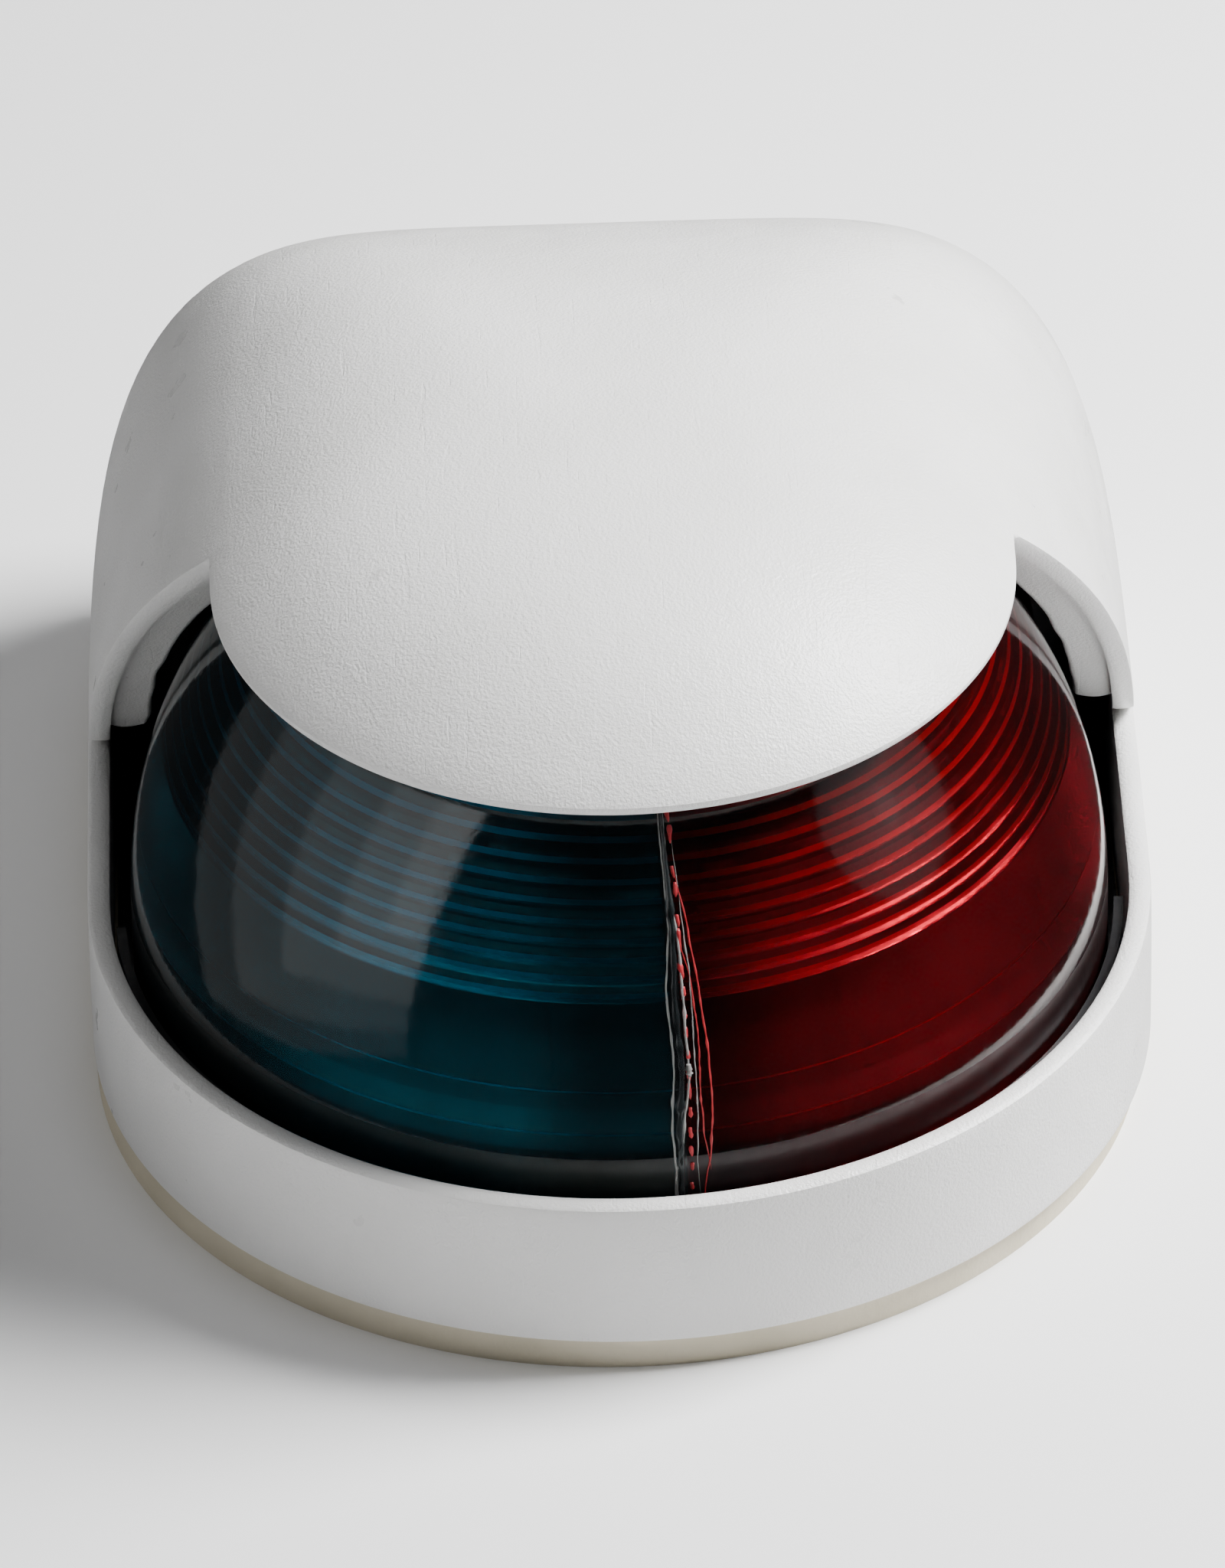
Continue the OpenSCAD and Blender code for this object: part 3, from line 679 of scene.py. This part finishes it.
# Threads of adhesive: label, material, thickness, their two ends' heights, and degrees off the seam
SEAM_STRANDS = (
    ("left", "adhesive", 0.00012, (0.0405, 0.0085), (0.2, -0.4, -0.2, -1.0, -0.6, -1.0, -0.6, 0.3)),
    ("inner", "adhesive", 0.00015, (0.0375, 0.0090), (0.4, 0.2, 0.9, 1.0, 1.1, 0.2, -0.8, -0.3)),
    ("bead", "seam_dark", 0.00034, (0.0395, 0.0085), (0.0, 0.1, 0.2, -0.1, 0.3, -0.2, 0.0, 0.2)),
    ("speck", "adhesive", 0.00026, (0.0222, 0.0212), (1.1, 1.2)),
    ("right", "seam_red", 0.00010, (0.0340, 0.0088), (1.2, 2.3, 3.0, 3.5, 3.7, 3.4, 2.6, 2.4)),
    ("loop", "seam_red", 0.00008, (0.0300, 0.0140), (1.2, 2.2, 2.5, 2.4, 2.6, 3.3)),
    ("edge", "adhesive", 0.00007, (0.0355, 0.0110), (1.3, 1.6, 2.0, 1.9, 2.0, 1.8, 2.1)))
STRAND_STEPS, STRAND_SIDES = 120, 8
RED_DOTS, RED_DOTS_LOW_Z, RED_DOTS_HIGH_Z = 20, 0.0125, 0.0405
RED_DOTS_OFF = 1.05                     # degrees off the seam
RED_DOT_STEPS, RED_DOT_LIFT, RED_DOT_THIN, RED_DOT_THICK = 8, 0.00003, 0.00009, 0.00022


def dome_r(r, z):
    return r if z <= LENS_CENTRE_Z else math.sqrt(r * r - (z - LENS_CENTRE_Z) ** 2)


def lens_outside(count=44):
    """Outer profile of the lens from its foot to its top, as (radius, z)."""
    rise = LENS_HIGH.z - LENS_CENTRE_Z
    profile = [(LENS_R, LENS_LOW.z), (LENS_R, 0.010), (LENS_R, 0.0135)]
    return profile + [(dome_r(LENS_R, LENS_CENTRE_Z + rise * k / count), LENS_CENTRE_Z + rise * k / count)
                      for k in range(count + 1)]


def lens_inside(angle):
    """Inner profile of the lens from its top to its foot at one angle, with slightly uneven ribs."""
    inner = LENS_R - LENS_WALL
    profile = [(dome_r(inner, LENS_HIGH.z), LENS_HIGH.z)]
    for k in range(RIB_COUNT - 1, -1, -1):
        z = RIB_LOW_Z + RIB_PITCH * k
        wobble = noise.noise(Vector((angle * 0.11, k * 3.7, 1.0))) * 0.00004
        ripple = noise.noise(Vector((angle * 0.9, k * 5.1, 4.0))) * 0.000012
        profile += [(dome_r(inner, z + RIB_PITCH), z + RIB_PITCH),
                    (dome_r(inner, z + 0.5 * RIB_PITCH) - RIB_BELLY + ripple, z + 0.5 * RIB_PITCH),
                    (dome_r(inner, z) - RIB_DEPTH + wobble, z + RIB_EDGE)]
    for k in range(5):
        z = RIB_LOW_Z + (SHELF_HIGH_Z - RIB_LOW_Z) * k / 4
        profile.append((dome_r(inner, z), z))
    profile += [(dome_r(inner, SHELF_HIGH_Z) - SHELF_T, SHELF_HIGH_Z - SHELF_EDGE),
                (inner - SHELF_T, SHELF_LOW_Z), (inner - 2 * SHELF_T, SHELF_LOW_Z - SHELF_EDGE),
                (inner - 2 * SHELF_T, SHELF_FOOT_Z), (inner, SHELF_FOOT_Z - 2 * SHELF_T),
                (inner, LENS_LOW.z)]
    return profile


def at_angle(r, degrees_off_ahead, z):
    a = math.radians(degrees_off_ahead)
    return (r * math.sin(a), -r * math.cos(a), z)


def make_lens_shell(name, first, last, material, slot_materials=(), step=0.9):
    """Part of the lens between two angles from dead ahead, positive towards red."""
    count = max(2, int(round((last - first) / step)))
    outside = lens_outside()
    points, rings = [], []
    for k in range(count + 1):
        angle = first + (last - first) * k / count
        section = outside + lens_inside(angle)
        start = len(points)
        points += [at_angle(r, angle, z) for r, z in section]
        rings.append(list(range(start, len(points))))
    faces = []
    for a, b in zip(rings, rings[1:]):
        for i in range(len(a)):
            j = (i + 1) % len(a)
            faces.append((a[i], b[i], b[j], a[j]))
    faces.append(tuple(rings[0]))
    faces.append(tuple(reversed(rings[-1])))
    shell = mesh_object(name, points, faces, material)
    for finish in slot_materials:
        shell.data.materials.append(finish)
    if slot_materials:
        rows = len(rings[0])
        skirt = len(outside) + 1 + 3 * RIB_COUNT
        # Rib faces and two shelf rows take the rib material, with its painted light
        plan = {len(outside) + 2 + 3 * k: RIB_FROST_AND_LIGHT_SLOT for k in range(RIB_COUNT)}
        plan.update({skirt + 4: RIB_FROST_AND_LIGHT_SLOT, skirt + 6: RIB_FROST_AND_LIGHT_SLOT})
        plan.update(dict.fromkeys(FOOT_ROWS, FOOT_FINISH))
        # Band rows take the band material, with its painted light
        plan.update(dict.fromkeys(PAINTED_LIGHT_BAND_ROWS, BAND_PAINTED_LIGHT_SLOT))
        for face_row, index in plan.items():
            for ring in range(count):
                shell.data.polygons[ring * rows + face_row].material_index = index
    shell.data.set_sharp_from_angle(angle=math.radians(14))
    return shell


def strand(name, route, radius, sides, material):
    """Tube of varying radius along a route; radius is a list as long as the route."""
    points, faces = [], []
    for k, place in enumerate(route):
        ahead = Vector(route[min(k + 1, len(route) - 1)]) - Vector(route[max(k - 1, 0)])
        u = ahead.cross(Vector((1.0, 0.2, 0.1))).normalized()
        v = ahead.cross(u).normalized()
        points += [Vector(place) + radius[k] * (math.cos(a) * u + math.sin(a) * v)
                   for a in (2 * math.pi * i / sides for i in range(sides))]
    for k in range(len(route) - 1):
        for i in range(sides):
            a, b = k * sides + i, k * sides + (i + 1) % sides
            faces.append((a, b, b + sides, a + sides))
    faces.append(tuple(reversed(range(sides))))
    faces.append(tuple(range(len(points) - sides, len(points))))
    return mesh_object(name, points, faces, material)


def seam_path(low, high, count, offsets, lift, seed):
    """Points up the lens's outer face near the seam; offsets are degrees off it, from top to bottom."""
    route = []
    for k in range(count):
        t = k / (count - 1)
        z = low + (high - low) * t
        place = (1 - t) * (len(offsets) - 1)
        i = min(int(place), len(offsets) - 2)
        blend = (1 - math.cos(math.pi * (place - i))) / 2
        angle = SEAM_ANGLE + offsets[i] + (offsets[i + 1] - offsets[i]) * blend
        angle += 0.10 * noise.noise(Vector((z * 900.0, seed, 3.0)))
        route.append(at_angle(dome_r(LENS_R, z) + lift * 0.4, angle, z))
    return route


def strand_radii(count, thin, thick, seed):
    radii = []
    for k in range(count):
        swell = 0.5 + 0.5 * noise.noise(Vector((k * 0.31, seed * 5.7, 8.0)))
        taper = min(1.0, 4.0 * k / count + 0.2, 4.0 * (1 - k / count) + 0.2)
        radii.append((thin + (thick - thin) * swell * swell * 1.6) * taper)
    return radii


def make_seam(materials):
    """Dark bead of adhesive in the joint, with pale and red strands and red flecks over it."""
    pieces = [make_lens_shell("seam_fill", SEAM_ANGLE - SEAM_HALF, SEAM_ANGLE + SEAM_HALF,
                              materials["seam_dark"], step=0.6)]
    for label, finish, thick, (z_high, z_low), offsets in SEAM_STRANDS:
        route = seam_path(z_low, z_high, STRAND_STEPS, offsets, thick, len(label) * 1.7)
        radii = strand_radii(STRAND_STEPS, 0.4 * thick, thick, len(label) * 2.3)
        pieces.append(strand("seam_" + label, route, radii, STRAND_SIDES, materials[finish]))
    pitch = (RED_DOTS_HIGH_Z - RED_DOTS_LOW_Z) / RED_DOTS
    for k in range(RED_DOTS):
        odd = noise.noise(Vector((k * 7.7, 2.0, 0.0)))
        z = RED_DOTS_LOW_Z + pitch * (k + 0.6 * odd)
        length = pitch * (0.45 + 0.9 * abs(noise.noise(Vector((k * 3.3, 5.0, 0.0)))))
        offsets = (RED_DOTS_OFF + 0.5 * odd, RED_DOTS_OFF + 0.1)
        route = seam_path(z, z + length, RED_DOT_STEPS, offsets, RED_DOT_LIFT, 20.0)
        radii = strand_radii(RED_DOT_STEPS, RED_DOT_THIN, RED_DOT_THICK, 30.0 + k)
        pieces.append(strand("seam_red_" + str(k + 1), route, radii, STRAND_SIDES, materials["seam_red"]))
    for piece in pieces:
        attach(piece, "lens")
    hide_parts("lens_seam")


def make_lens(materials):
    plan = (("green", -SECTOR, SEAM_ANGLE - SEAM_HALF), ("red", SEAM_ANGLE + SEAM_HALF, SECTOR))
    for color, first, last in plan:
        # The rib and band materials passed here carry painted light
        shell = make_lens_shell("lens_shell_" + color, first, last, materials["lens_" + color],
                                (materials["rib_" + color], materials["foot_" + color],
                                 materials["band_" + color]))
        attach(shell, "lens")
        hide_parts("lens_" + color)


# ---------------------------------------------------------------- gasket and small parts

# Section of the gasket's edge, as (distance in from the edge, height)
GASKET_SECTION = ((0.0012, 0.00002), (0.0002, 0.00002), (0.00002, 0.0002), (0.0, 0.0008), (0.0, 0.0015),
                  (0.00002, 0.0020), (0.0002, 0.00228), (0.0012, 0.00228))
GASKET_STEPS = 1500
SPLIT_DEPTH, EDGE_INSET, EDGE_ROUGHNESS = 0.00010, 0.00003, 0.00002
# Widths in millimetres of the broken edges on the small parts
EDGES_MM = {
    "base_plate": 0.25, "rear_screen": 0.25, "centre_screen": 0.25, "lamp_post": 0.3,
    "terminal_block": 0.4, "contact_lower": 0.1, "contact_upper": 0.1, "terminal_plates": 0.12,
    "cover_nut": 0.3, "cover_screw": 0.15, "lamp_post_screws": 0.1, "terminal_screw_green": 0.15,
    "terminal_screw_red": 0.15, "contact_rivets": 0.15, "cable_grommet": 0.2,
    "bulb_cap_lower": 0.15, "bulb_cap_upper": 0.15, "lens_seal": 0.15, "cover_baffles": 0.2}


def make_gasket_edge(materials):
    """Cut edge of the deck gasket, with fine vertical splits."""
    low, high = (Vector(corner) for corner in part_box("deck_gasket"))
    shift = (low.x + high.x) / 2
    rx, rr, rf = (high.x - low.x) / 2, high.y, -low.y
    points = []
    for i in range(GASKET_STEPS):
        a = 2 * math.pi * i / GASKET_STEPS
        c, s = math.cos(a), math.sin(a)
        n = CORNER_POWER if s >= 0 else 2.0
        ry = rr if s >= 0 else rf
        r = ((abs(c) / rx) ** n + (abs(s) / ry) ** n) ** (-1 / n)
        split = noise.noise(Vector((c * 90.0, s * 90.0, 3.0)))
        deep = SPLIT_DEPTH if split > 0.42 and i % 3 == 0 else 0.0
        for inset, z in GASKET_SECTION:
            rough = noise.noise(Vector((c * 260.0, s * 260.0, z * 900.0))) * EDGE_ROUGHNESS
            share = 1 - (inset + deep + EDGE_INSET + rough) / r
            points.append((shift + r * c * share, r * s * share, z))
    size = len(GASKET_SECTION)
    faces = []
    for i in range(GASKET_STEPS):
        a, b = i * size, (i + 1) % GASKET_STEPS * size
        for k in range(size):
            m = (k + 1) % size
            faces.append((a + k, b + k, b + m, a + m))
    edge = mesh_object("gasket_edge", points, faces, materials["gasket_beige"])
    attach(edge, "base")


def bevel_cad_nodes():
    """Broken edges on the small moulded, stamped and turned parts."""
    for name, width in EDGES_MM.items():
        add_bevel(frame["nodes"][name], width * MM, 2)


# ---------------------------------------------------------------- floor

FLOOR_HALF = 3.0


def make_floor():
    points = [(x * FLOOR_HALF, y * FLOOR_HALF, 0.0) for x, y in ((-1, -1), (1, -1), (1, 1), (-1, 1))]
    material, tree, shader = new_material("floor")
    mottle = noise_node(tree, 3.0)
    color = ramp(tree, mottle.outputs["Fac"], [(0.3, grey(0.90)), (0.7, grey(0.93))])
    tree.links.new(color, shader.inputs["Base Color"])
    shader.inputs["Roughness"].default_value = 0.9
    floor = mesh_object("floor", points, [(0, 1, 2, 3)], material, smooth=False)
    floor.visible_glossy = False


make_camera()
make_lights()
make_floor()
MATERIALS = make_materials()
paint_cad_nodes(MATERIALS)

cover = make_cover(MATERIALS)
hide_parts("housing_cover")
for piece in (cover, make_cover_screen(-1, MATERIALS), make_cover_screen(1, MATERIALS)):
    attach(piece, "cover")

make_lens(MATERIALS)
make_seam(MATERIALS)
make_gasket_edge(MATERIALS)
bevel_cad_nodes()
